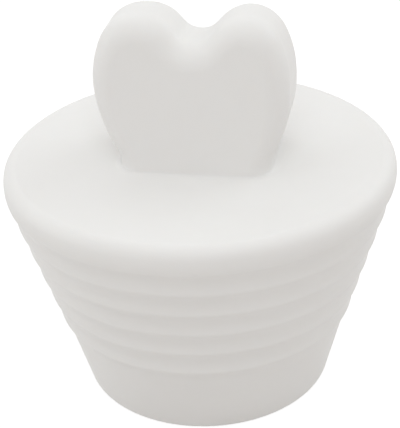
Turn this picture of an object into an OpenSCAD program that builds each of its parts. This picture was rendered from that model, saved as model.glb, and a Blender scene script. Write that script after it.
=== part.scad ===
// Bath plug: a tapered round stopper with a heart-shaped grip, moulded in one piece of silicone.
// Origin: centre of the flat bottom face. +Z is up, X runs along the width of the heart and
// Y through its thickness. All sizes are in millimetres.

/* [Tapered body] */
// Diameter of the top face, to its sharp corner
top_d = 50.4; // [44:0.1:70]
// Diameter of the bottom face, to its sharp corner
bottom_d = 31.4; // [20:0.1:40]
// Height of the tapered body
body_h = 31; // [25:0.5:45]
// Radius of the rounded top edge
rim_r = 1.8; // [0.5:0.1:2.2]
// How far the side still faces upward where the rounded top edge ends, in degrees
rim_lean = 12; // [5:1:20]
// Radius of the rounded bottom edge
foot_r = 1; // [0.2:0.1:2]

/* [Sealing grooves] */
// Number of shallow grooves round the side
groove_count = 6; // [1:1:6]
// Height of one groove
groove_w = 3; // [1.5:0.1:3.4]
// Height of the plain band between two grooves
groove_gap = 0.4; // [0.2:0.1:0.8]
// Depth of a groove at its middle
groove_depth = 0.3; // [0.1:0.05:0.4]
// Distance from the top face down to the first groove
groove_top = 3.4; // [2.8:0.1:4]

/* [Heart grip] */
// Width of the heart at its widest
grip_w = 23.8; // [19.8:0.1:30]
// Height of the heart above the top face
grip_h = 18.5; // [15.6:0.1:22.2]
// Width of the heart where it meets the top face
grip_foot_w = 16.4; // [13:0.1:19]
// Height above the top face at which the heart is widest
grip_widest = 10.3; // [7:0.1:12]
// How far the outer side of each lobe stands in from the heart's widest point
lobe_inset = 0.7; // [0.4:0.1:2]
// Radius of each of the two lobes
lobe_r = 4.9; // [3.6:0.1:5.9]
// Steepest slope of the notch between the lobes, in degrees
notch_slope = 50; // [30:1:60]
// Radius at the bottom of the notch
notch_r = 2.6; // [1:0.1:3.5]
// How far the notch leans to the right of the heart's middle
notch_lean = 0.8; // [-1:0.1:1]
// How far the heart's foot leans to the right of its middle
foot_lean = 0.5; // [-0.8:0.1:0.8]
// Thickness of the heart where it meets the top face
grip_t = 12.8; // [11:0.1:18]
// Thickness of the heart at the top of the lobes
grip_top_t = 9; // [7.5:0.1:15]
// Radius of the rounded edges round the front and back of the heart
grip_edge_r = 2.7; // [1:0.1:3.2]
// Height of the flare where the heart meets the top face
flare_h = 2.2; // [0.5:0.1:3]
// Reach of the flare to the left and right of the heart
flare_side = 1.1; // [0.3:0.1:2]
// Reach of the flare in front of and behind the heart
flare_front = 0.1; // [0.1:0.1:1]

/* [Hidden] */
silicone_white = [0.93, 0.93, 0.92];
$fn = 96;

// Steps on the two arcs of the top edge
rim_steps = 12;
swell_steps = 6;
// Height of the straight strip between the swell and the first groove
swell_gap = 0.1;
// Steps on each arc of the heart's outline, and across its rounded edges
flank_steps = 8;
shoulder_steps = 5;
lobe_steps = 16;
notch_steps = 6;
edge_steps = 6;
// How far the heart runs down into the body, and how far the flare's top sinks into the heart
grip_sink = 1.5;
flare_sink = 0.1;
// Height of the flare's upright edge on the top face
flare_edge = 0.02;

// The slope of the body's side, its outward normal, and its radius at a depth below the top face
taper = atan2(top_d / 2 - bottom_d / 2, body_h);
side_normal = [cos(taper), -sin(taper)];
function side_point(depth) = [top_d / 2 - depth * tan(taper), body_h - depth];

// Below the round top edge the side swells out a little, on a larger arc that ends just above
// the first groove. The arcs touch each other, the top face and the straight side.
swell_end = groove_top - swell_gap;
swell_r = (swell_end - rim_r * (1 - sin(rim_lean))) / (sin(taper) + sin(rim_lean));
swell_c = side_point(swell_end) - swell_r * side_normal;
rim_c = swell_c + (swell_r - rim_r) * [cos(rim_lean), sin(rim_lean)];

// Centre of the round bottom edge, which touches the side and the bottom face
foot_c = [bottom_d / 2 - foot_r / tan((90 + taper) / 2), foot_r];

// A groove is a slice of a large circle that crosses the side at the groove's two edges
groove_chord = groove_w / cos(taper);
groove_r = groove_chord ^ 2 / (8 * groove_depth) + groove_depth / 2;
function groove_middle(i) = groove_top + i * (groove_w + groove_gap) + groove_w / 2;
function groove_c(i) = side_point(groove_middle(i)) + (groove_r - groove_depth) * side_normal;

// Below its middle the lowest groove has no ridge: its floor runs out straight to the foot
lowest_middle = groove_middle(groove_count - 1);
lowest_floor = side_point(lowest_middle) - groove_depth * side_normal;
lowest_start = side_point(lowest_middle - groove_w / 2);

// The heart's outline bends inward below its widest point, on an arc that runs through the foot
// and on down into the body. Above it come the shoulder, the lobe and the notch, as arcs that
// touch, and the notch has a straight side where the lobes stand far enough apart.
foot_inset = (grip_w - grip_foot_w) / 2;
flank_r = (foot_inset ^ 2 + grip_widest ^ 2) / (2 * foot_inset);
flank_c = [grip_w / 2 - flank_r, grip_widest];
flank_start = -asin(min(1, (grip_widest + grip_sink) / flank_r));
lobe_c = [grip_w / 2 - lobe_inset - lobe_r, grip_h - lobe_r];
lobe_rise = lobe_c.y - grip_widest;
shoulder_r = ((lobe_inset + lobe_r) ^ 2 + lobe_rise ^ 2 - lobe_r ^ 2) / (2 * lobe_inset);
shoulder_c = [grip_w / 2 - shoulder_r, grip_widest];
lobe_start = atan2(lobe_rise, lobe_c.x - shoulder_c.x);
steepest = min(notch_slope, asin(min(1, lobe_c.x / (lobe_r + notch_r))));
notch_rise = (lobe_r + notch_r - lobe_c.x * sin(steepest)) / cos(steepest);
notch_c = [0, lobe_c.y + notch_rise];

function arc(centre, radius, from, to, steps, first = 0) = [
    for (i = [first:steps])
        let (a = from + (to - from) * i / steps)
            centre + radius * [cos(a), sin(a)]
];

// The right half of the heart, inset towards its middle: sideways below the widest point, and
// square to the outline above it
function half_heart(inset) = concat(
    arc(flank_c - [inset, 0], flank_r, flank_start, 0, flank_steps),
    arc(shoulder_c, shoulder_r - inset, 0, lobe_start, shoulder_steps, 1),
    arc(lobe_c, lobe_r - inset, lobe_start, 90 + steepest, lobe_steps, 1),
    arc(notch_c, notch_r + inset, 270 + steepest, 270, notch_steps, 1)
);

// Moves a point of the outline sideways. Above the heart's widest point it goes with the notch:
// most in the middle, and not at all at the sides. Below, it goes with the foot.
function notch_share(z) = max(0, (z - grip_widest) / (grip_h - grip_widest));
function foot_share(z) = max(0, 1 - z / grip_widest);
function leaned(p) = [
    p.x + notch_lean * notch_share(p.y) * (1 - (2 * p.x / grip_w) ^ 2) ^ 2
        + foot_lean * foot_share(p.y),
    p.y
];

function whole_heart(inset) =
    let (right = half_heart(inset), last = len(right) - 1)
        [
            for (p = right) leaned(p),
            for (i = [last - 1:-1:0]) leaned([-right[i].x, right[i].y])
        ];

// Half the heart's thickness at a height above the top face
function half_t(z) = (grip_t + (grip_top_t - grip_t) * z / grip_h) / 2;

// One outline of the heart where its rounded edge has turned by an angle, on the front (-1) or
// the back (1)
function heart_ring(turn, face) = [
    for (p = whole_heart(grip_edge_r * (1 - sin(turn))))
        [p.x, face * (half_t(p.y) - grip_edge_r * (1 - cos(turn))), p.y]
];

module heart() {
    turns = [for (i = [0:edge_steps]) 90 * i / edge_steps];
    back_turns = [for (i = [edge_steps:-1:0]) 90 * i / edge_steps];
    rings = concat([for (a = turns) heart_ring(a, -1)], [for (a = back_turns) heart_ring(a, 1)]);
    n = len(rings[0]);
    last = len(rings) - 1;
    polyhedron(
        points = [for (ring = rings, p = ring) p],
        faces = concat(
            [[for (i = [n - 1:-1:0]) i]],
            [[for (i = [0:n - 1]) last * n + i]],
            [
                for (j = [0:last - 1], i = [0:n - 1])
                    let (k = (i + 1) % n)
                        [j * n + i, j * n + k, (j + 1) * n + k, (j + 1) * n + i]
            ]
        )
    );
}

// A round post at one corner of the flare, which reaches out past the heart's foot
module flare_corner(x, y, reach, radius, height) {
    middle = foot_lean * foot_share(height);
    half_w = grip_foot_w / 2 + reach.x - radius;
    half_depth = half_t(height) + reach.y - radius;
    translate([middle + x * half_w, y * half_depth, 0])
        cylinder(h = height, r = radius, $fn = 32);
}

// The flare stands on the top face and slopes up into the heart, with the heart's rounded corners
module heart_flare() {
    hull()
        for (x = [-1, 1], y = [-1, 1]) {
            flare_corner(x, y, [flare_side, flare_front], grip_edge_r, flare_edge);
            flare_corner(x, y, [-flare_sink, -flare_sink], grip_edge_r - flare_sink, flare_h);
        }
}

module body_section() {
    difference() {
        union() {
            polygon(concat(
                [[0, 0], [foot_c.x, 0], foot_c + foot_r * side_normal, lowest_floor, lowest_start],
                arc(swell_c, swell_r, -taper, rim_lean, swell_steps),
                arc(rim_c, rim_r, rim_lean, 90, rim_steps, 1),
                [[0, body_h]]
            ));
            translate(foot_c) circle(foot_r);
        }
        for (i = [0:groove_count - 1])
            translate(groove_c(i)) circle(groove_r);
    }
}

module plug() {
    color(silicone_white) {
        rotate_extrude() body_section();
        translate([0, 0, body_h]) heart();
        translate([0, 0, body_h]) heart_flare();
    }
}

plug();
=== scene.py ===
import math

import bmesh
import bpy
from mathutils import Matrix, Vector


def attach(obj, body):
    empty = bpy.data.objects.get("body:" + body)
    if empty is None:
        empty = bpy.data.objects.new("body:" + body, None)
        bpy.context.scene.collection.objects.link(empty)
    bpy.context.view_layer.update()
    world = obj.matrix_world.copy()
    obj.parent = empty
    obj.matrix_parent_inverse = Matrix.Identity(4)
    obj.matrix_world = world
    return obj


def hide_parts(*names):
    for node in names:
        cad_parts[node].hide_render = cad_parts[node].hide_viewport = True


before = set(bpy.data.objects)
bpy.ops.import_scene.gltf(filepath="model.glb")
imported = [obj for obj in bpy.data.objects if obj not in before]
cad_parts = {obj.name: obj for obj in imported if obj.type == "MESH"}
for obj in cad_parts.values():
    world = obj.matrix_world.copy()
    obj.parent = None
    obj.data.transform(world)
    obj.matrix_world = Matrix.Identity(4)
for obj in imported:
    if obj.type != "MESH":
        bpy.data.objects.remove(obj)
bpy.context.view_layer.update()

# ---------------------------------------------------------------------------- the bath plug
# The plug is one moulding of soft white silicone: a solid tapered stopper with a heart standing
# on it as a grip. Shallow grooves run round its side, so that it grips and seals a drain, and
# every edge is rounded as it left the mould. Sizes are those of the moulding, in metres.
MM = 0.001
top_r = 25.2 * MM
bottom_r = 15.7 * MM
body_h = 31 * MM
rim_r = 1.8 * MM
rim_lean = math.radians(12)
foot_r = 1 * MM

groove_count = 6
groove_w = 3 * MM
groove_gap = 0.4 * MM
groove_depth = 0.3 * MM
groove_top = 3.4 * MM
groove_softness = 0.03 * MM
swell_end = 3.3 * MM

heart_w = 23.8 * MM
heart_h = 18.5 * MM
heart_foot_w = 16.4 * MM
heart_widest = 10.3 * MM
lobe_inset = 0.7 * MM
lobe_r = 4.9 * MM
notch_slope = math.radians(50)
notch_r = 2.6 * MM
notch_lean = 0.8 * MM
foot_lean = 0.5 * MM
heart_t = 12.8 * MM
heart_top_t = 9 * MM
heart_edge_r = 2.7 * MM
fillet_h = 2.2 * MM
fillet_side = 1.1 * MM
fillet_front = 0.1 * MM
# A straight slope at 0. At 1 it is hollow, and runs smoothly into the heart and the top face.
fillet_hollow = 0.4


def arc(centre, radius, start, end, steps):
    """Points on an arc from one angle to another, both ends included."""
    angles = [start + (end - start) * i / steps for i in range(steps + 1)]
    return [Vector(centre) + radius * Vector((math.cos(a), math.sin(a))) for a in angles]


def line(start, end, steps):
    """Points between two others, both ends left out."""
    return [Vector(start).lerp(end, i / steps) for i in range(1, steps)]


# The body's profile, as radius and height, from the rounded top edge down to the underside.
# Below the top edge the side swells out a little, on a larger arc, down to the first groove.
rim_steps = 18
swell_steps = 14
wall_steps = 190
foot_steps = 8
taper = math.atan2(top_r - bottom_r, body_h)
swell_r = (swell_end - rim_r * (1 - math.sin(rim_lean))) / (math.sin(taper) + math.sin(rim_lean))
swell_foot = Vector((top_r - swell_end * math.tan(taper), body_h - swell_end))
swell_centre = swell_foot - swell_r * Vector((math.cos(taper), -math.sin(taper)))
rim_centre = swell_centre + (swell_r - rim_r) * Vector((math.cos(rim_lean), math.sin(rim_lean)))
foot_centre = (bottom_r - foot_r / math.tan((math.pi / 2 + taper) / 2), foot_r)


def groove_dip(down, bottom):
    """How far the side is set back at a distance below the top face.

    The lowest groove has no lower ridge: its floor runs out straight to the bottom.
    """
    dip = 0
    for i in range(groove_count):
        past_middle = down - groove_top - i * (groove_w + groove_gap) - groove_w / 2
        if i == groove_count - 1 and past_middle > 0:
            hollow = groove_depth * (bottom - down) / (bottom - down + past_middle)
        else:
            hollow = groove_depth * (1 - (2 * past_middle / groove_w) ** 2)
        dip += (hollow + math.hypot(hollow, groove_softness)) / 2
    return dip


def body_profile():
    rim = arc(rim_centre, rim_r, math.pi / 2, rim_lean, rim_steps)
    rim += arc(swell_centre, swell_r, rim_lean, -taper, swell_steps)[1:]
    foot = arc(foot_centre, foot_r, -taper, -math.pi / 2, foot_steps)
    wall = line(rim[-1], foot[0], wall_steps)
    inward = Vector((-math.cos(taper), math.sin(taper)))
    bottom = body_h - foot[0].y
    return rim + [p + groove_dip(body_h - p.y, bottom) * inward for p in wall] + foot


# The heart's outline, as width and height above the top face. It bends inward below its widest
# point, and above it come a shoulder, a lobe and the notch, on arcs that touch.
flank_steps = 20
shoulder_steps = 10
lobe_steps = 36
notch_steps = 14
foot_inset = (heart_w - heart_foot_w) / 2
flank_r = (foot_inset**2 + heart_widest**2) / (2 * foot_inset)
flank_centre = Vector((heart_w / 2 - flank_r, heart_widest))
lobe_centre = Vector((heart_w / 2 - lobe_inset - lobe_r, heart_h - lobe_r))
lobe_rise = lobe_centre.y - heart_widest
shoulder_r = ((lobe_inset + lobe_r) ** 2 + lobe_rise**2 - lobe_r**2) / (2 * lobe_inset)
shoulder_centre = Vector((heart_w / 2 - shoulder_r, heart_widest))
lobe_start = math.atan2(lobe_rise, lobe_centre.x - shoulder_centre.x)
steepest = min(notch_slope, math.asin(min(1, lobe_centre.x / (lobe_r + notch_r))))
notch_rise = (lobe_r + notch_r - lobe_centre.x * math.sin(steepest)) / math.cos(steepest)
notch_centre = lobe_centre + Vector((-lobe_centre.x, notch_rise))


def heart_outline(inset):
    """The heart from its right foot over both lobes to its left foot, drawn in by the inset."""
    flank_start = -math.asin((heart_widest - fillet_h) / flank_r)
    lobe_end = math.pi / 2 + steepest
    notch_start = 1.5 * math.pi + steepest
    right = arc(flank_centre - Vector((inset, 0)), flank_r, flank_start, 0, flank_steps)
    right += arc(shoulder_centre, shoulder_r - inset, 0, lobe_start, shoulder_steps)[1:]
    right += arc(lobe_centre, lobe_r - inset, lobe_start, lobe_end, lobe_steps)[1:]
    right += arc(notch_centre, notch_r + inset, notch_start, 1.5 * math.pi, notch_steps)[1:]
    outline = right + [Vector((-p.x, p.y)) for p in reversed(right[:-1])]
    for p in outline:
        share = max(0, (p.y - heart_widest) / (heart_h - heart_widest))
        p.x += notch_lean * share * (1 - (2 * p.x / heart_w) ** 2) ** 2
        p.x += foot_lean * max(0, 1 - p.y / heart_widest)
    return outline


def half_thickness(height):
    """Half the heart's thickness, which shrinks evenly towards its top."""
    return (heart_t + (heart_top_t - heart_t) * height / heart_h) / 2


# The heart's section from front to back: over the front edge, along the side, over the back
# edge. Each step says how far the outline is drawn in, and how far forward or back it stands,
# as a share of the half thickness and a rest.
edge_steps = 18
side_steps = 30
face_steps = 54
heart_section = []
for i in range(edge_steps + 1):
    turn = math.pi / 2 * i / edge_steps
    drawn_in = heart_edge_r * (1 - math.sin(turn))
    sunk = heart_edge_r * (1 - math.cos(turn))
    heart_section.append((drawn_in, -1, sunk))
back_edge = [(drawn_in, 1, -sunk) for drawn_in, _, sunk in reversed(heart_section)]
for i in range(1, side_steps):
    share = 2 * i / side_steps - 1
    heart_section.append((0, share, -share * heart_edge_r))
heart_section += back_edge


def foot_loop(half_w, half_t, corner_r, height):
    """A rounded rectangle round the heart, from its front right corner anticlockwise."""
    lean = foot_lean * (1 - height / heart_widest)
    loop = []
    for quarter, (sx, sy) in enumerate(((1, -1), (1, 1), (-1, 1), (-1, -1))):
        centre = (sx * (half_w - corner_r), sy * (half_t - corner_r))
        start = math.pi / 2 * (quarter - 1)
        corner = arc(centre, corner_r, start, start + math.pi / 2, edge_steps)
        end = corner[-1]
        if quarter % 2:
            straight = line(end, (-end.x, end.y), face_steps)
        else:
            straight = line(end, (end.x, -end.y), side_steps)
        loop += corner + straight
    return [Vector((p.x + lean, p.y, body_h + height)) for p in loop]


# One skin: down the fillet at the heart's foot, out over the top face, down the side and in
# under the foot. Every ring is divided as the heart's foot is. The fillet bends towards the
# corner where the heart's own slope would meet the top face.
fillet_steps = 12
top_steps = 12
skin = bmesh.new()
flank_reach = math.sqrt(flank_r**2 - (heart_widest - fillet_h) ** 2)
fillet_half_w = flank_centre.x + flank_reach
corner_half_w = fillet_half_w - fillet_h * (heart_widest - fillet_h) / flank_reach
fillet_top = foot_loop(fillet_half_w, half_thickness(fillet_h), heart_edge_r, fillet_h)
fillet_corner = foot_loop(corner_half_w, heart_t / 2, heart_edge_r, 0)
fillet_end = foot_loop(heart_foot_w / 2 + fillet_side, heart_t / 2 + fillet_front, heart_edge_r, 0)
fillet_bend = [
    ((a + c) / 2).lerp(b, fillet_hollow)
    for a, b, c in zip(fillet_top, fillet_corner, fillet_end)
]
rings = []
for i in range(fillet_steps + 1):
    t = i / fillet_steps
    rings.append([
        (1 - t) ** 2 * a + 2 * t * (1 - t) * b + t**2 * c
        for a, b, c in zip(fillet_top, fillet_bend, fillet_end)
    ])
bearings = [math.atan2(p.y, p.x) for p in fillet_end]
body_rings = [
    [Vector((p.x * math.cos(a), p.x * math.sin(a), p.y)) for a in bearings]
    for p in body_profile()
]
for i in range(1, top_steps):
    rings.append([a.lerp(b, i / top_steps) for a, b in zip(fillet_end, body_rings[0])])
rings += body_rings

placed = [[skin.verts.new(p) for p in ring] for ring in rings]
for inner, outer in zip(placed, placed[1:]):
    for i in range(len(inner)):
        j = (i + 1) % len(inner)
        skin.faces.new((inner[i], outer[i], outer[j], inner[j]))
skin.faces.new(placed[-1][::-1])

# The heart itself: its outline swept along the section, and a flat face front and back
hoops = []
for inset, share, rest in heart_section:
    hoops.append([
        skin.verts.new((p.x, share * half_thickness(p.y) + rest, body_h + p.y))
        for p in heart_outline(inset)
    ])
for front, back in zip(hoops, hoops[1:]):
    for i in range(len(front) - 1):
        skin.faces.new((front[i], back[i], back[i + 1], front[i + 1]))
bmesh.ops.remove_doubles(skin, verts=skin.verts, dist=0.001 * MM)
open_edges = [edge for edge in skin.edges if edge.is_boundary]
faces = bmesh.ops.holes_fill(skin, edges=open_edges, sides=0)["faces"]
bmesh.ops.triangulate(skin, faces=faces)
bmesh.ops.recalc_face_normals(skin, faces=skin.faces)
for face in skin.faces:
    face.smooth = True
plug_mesh = bpy.data.meshes.new("bath_plug")
skin.to_mesh(plug_mesh)
skin.free()
plug = bpy.data.objects.new("bath_plug", plug_mesh)
bpy.context.collection.objects.link(plug)
shading = plug.modifiers.new("flat faces stay flat", "WEIGHTED_NORMAL")
shading.weight = 100


class Wire:
    """One output of a shader node. Sums and products of wires and numbers add Math nodes."""

    def __init__(self, tree, socket):
        self.tree = tree
        self.socket = socket

    @staticmethod
    def pick(sockets, name):
        """The socket of that name or number, among those that the node's settings leave on."""
        shown = [socket for socket in sockets if socket.enabled]
        return shown[name] if isinstance(name, int) else next(s for s in shown if s.name == name)

    @classmethod
    def node(cls, tree, kind, settings=None, inputs=None, output=0):
        """Adds a node: its settings first, then the values or wires of its input sockets."""
        made = tree.nodes.new(kind)
        for name, value in (settings or {}).items():
            setattr(made, name, value)
        for name, value in (inputs or {}).items():
            socket = cls.pick(made.inputs, name)
            if isinstance(value, cls):
                tree.links.new(value.socket, socket)
            else:
                socket.default_value = value
        return cls(tree, cls.pick(made.outputs, output) if made.outputs else None)

    def math(self, operation, first, second):
        return self.node(self.tree, "ShaderNodeMath", {"operation": operation}, {0: first, 1: second})

    def __add__(self, other):
        return self.math("ADD", self, other)

    def __mul__(self, other):
        return self.math("MULTIPLY", self, other)

    __radd__ = __add__
    __rmul__ = __mul__


def new_material(name):
    material = bpy.data.materials.new(name)
    material.use_nodes = True
    material.node_tree.nodes.clear()
    return material


silicone = new_material("white_silicone")
place = Wire.node(silicone.node_tree, "ShaderNodeTexCoord", output="Object")


def noise(size, detail=2, roughness=0.5):
    """Soft noise about 0.5, with lumps of a size in metres."""
    return Wire.node(
        silicone.node_tree,
        "ShaderNodeTexNoise",
        inputs={"Vector": place, "Scale": 1 / size, "Detail": detail, "Roughness": roughness},
    )


# The white is mottled very faintly, in soft patches and in small specks
darker_white = (0.820, 0.815, 0.800, 1)
lighter_white = (0.850, 0.847, 0.834, 1)
tone = 0.7 * noise(9 * MM) + 0.3 * noise(0.9 * MM)
colour = Wire.node(
    silicone.node_tree,
    "ShaderNodeMix",
    {"data_type": "RGBA"},
    {"Factor": tone, "A": darker_white, "B": lighter_white},
)
relief = 0.012 * MM * noise(4 * MM, 1) + 0.0025 * MM * noise(0.25 * MM, 3, 0.6)
bump = Wire.node(
    silicone.node_tree, "ShaderNodeBump", inputs={"Height": relief, "Distance": 1.0, "Strength": 1.0}
)
surface = Wire.node(
    silicone.node_tree,
    "ShaderNodeBsdfPrincipled",
    {"subsurface_method": "RANDOM_WALK"},
    {
        "Base Color": colour,
        "Roughness": 0.42 + 0.12 * noise(2.5 * MM),
        "Normal": bump,
        "IOR": 1.41,
        "Subsurface Weight": 0.05,
        "Subsurface Radius": (1.0, 0.85, 0.7),
        "Subsurface Scale": 0.6 * MM,
    },
)
Wire.node(silicone.node_tree, "ShaderNodeOutputMaterial", inputs={"Surface": surface})
plug.data.materials.append(silicone)
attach(plug, "root")
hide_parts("plug")

# ---------------------------------------------------------------------------- the floor
# A wide matt sheet of pale paper under the plug. It lights the plug from below as warm white
# paper does, and the camera sees it as white, with the plug's own soft shadow left on it.
floor_half = 2.0
floor_mesh = bpy.data.meshes.new("floor")
corners = [(x * floor_half, y * floor_half, 0) for x, y in ((-1, -1), (1, -1), (1, 1), (-1, 1))]
floor_mesh.from_pydata(corners, [], [(0, 1, 2, 3)])
floor = bpy.data.objects.new("floor", floor_mesh)
bpy.context.collection.objects.link(floor)


def seen_as_white(tree):
    """1 for the rays that come from the camera, off gloss or through glass, and 0 for others."""
    kinds = ("Is Camera Ray", "Is Glossy Ray", "Is Transmission Ray")
    camera_ray, glossy_ray, clear_ray = [
        Wire.node(tree, "ShaderNodeLightPath", output=kind) for kind in kinds
    ]
    return camera_ray + glossy_ray + clear_ray


paper = new_material("paper")
white_share = seen_as_white(paper.node_tree)
pale = Wire.node(paper.node_tree, "ShaderNodeBsdfDiffuse", inputs={"Color": (0.76, 0.747, 0.73, 1)})
lit = Wire.node(paper.node_tree, "ShaderNodeBsdfDiffuse", inputs={"Color": (1, 1, 1, 1)})
glow = Wire.node(
    paper.node_tree, "ShaderNodeEmission", inputs={"Color": (1, 1, 1, 1), "Strength": 1.15}
)
seen = Wire.node(paper.node_tree, "ShaderNodeMixShader", inputs={0: 0.75, 1: lit, 2: glow})
sheet = Wire.node(
    paper.node_tree, "ShaderNodeMixShader", inputs={0: white_share, 1: pale, 2: seen}
)
Wire.node(paper.node_tree, "ShaderNodeOutputMaterial", inputs={"Surface": sheet})
floor.data.materials.append(paper)

# ---------------------------------------------------------------------------- the studio
# A white room with soft lamps above, in front, at both sides and behind. The room is a little
# warm and the lamps a little cool, so the plug's shaded sides are warmer than its top.
world = bpy.data.worlds.new("studio")
bpy.context.scene.world = world
world.use_nodes = True
world.node_tree.nodes.clear()
room_light = (0.550, 0.507, 0.498, 1)
room_seen = (1, 1, 1, 1)
room = Wire.node(
    world.node_tree,
    "ShaderNodeMix",
    {"data_type": "RGBA"},
    {"Factor": seen_as_white(world.node_tree), "A": room_light, "B": room_seen},
)
dome = Wire.node(world.node_tree, "ShaderNodeBackground", inputs={"Color": room, "Strength": 1.0})
Wire.node(world.node_tree, "ShaderNodeOutputWorld", inputs={"Surface": dome})

plug_middle = Vector((0, 0, body_h / 2))
lamp_colour = (0.92, 1, 1.01)


def soft_lamp(name, position, size, radiance):
    """A square area lamp that faces the plug and looks as bright as the given radiance."""
    light = bpy.data.lights.new(name, "AREA")
    light.size = size
    light.color = lamp_colour
    light.energy = radiance * math.pi * size**2
    lamp = bpy.data.objects.new(name, light)
    lamp.location = position
    lamp.rotation_euler = (plug_middle - lamp.location).to_track_quat("-Z", "Y").to_euler()
    bpy.context.collection.objects.link(lamp)


soft_lamp("top_lamp", (0, 0.1, 0.7), 1.0, 0.45)
soft_lamp("front_lamp", (0.08, -0.45, 0.6), 0.4, 2.15)
soft_lamp("left_lamp", (-0.75, -0.1, 0.25), 0.6, 0.95)
soft_lamp("right_lamp", (0.7, 0.1, 0.45), 0.6, 0.35)
soft_lamp("back_left_lamp", (-0.5, 0.5, 0.5), 0.5, 0.5)
soft_lamp("back_right_lamp", (0.5, 0.5, 0.5), 0.5, 1.2)

# ---------------------------------------------------------------------------- the camera
# A long lens, about a hand's length from the plug, which looks down on it and a little from
# the right. The camera is held slightly tilted.
camera_azimuth = math.radians(12.3)
camera_elevation = math.radians(29.56)
camera_roll = math.radians(-2.93)
camera_distance = 175 * MM
focal_length = 121.7
aim_right = -0.26 * MM
aim_up = 5.56 * MM

right = Vector((math.cos(camera_azimuth), math.sin(camera_azimuth), 0))
back = Vector((
    math.sin(camera_azimuth) * math.cos(camera_elevation),
    -math.cos(camera_azimuth) * math.cos(camera_elevation),
    math.sin(camera_elevation),
))
up = back.cross(right)
lens = bpy.data.cameras.new("camera")
lens.sensor_fit = "HORIZONTAL"
lens.sensor_width = 36
lens.lens = focal_length
lens.clip_start = 0.01
camera = bpy.data.objects.new("camera", lens)
axes = Matrix((right, up, back)).transposed() @ Matrix.Rotation(camera_roll, 3, "Z")
camera.matrix_world = axes.to_4x4()
camera.location = plug_middle + aim_right * right + aim_up * up + camera_distance * back
bpy.context.collection.objects.link(camera)
bpy.context.scene.camera = camera
bpy.context.scene.view_settings.view_transform = "Standard"
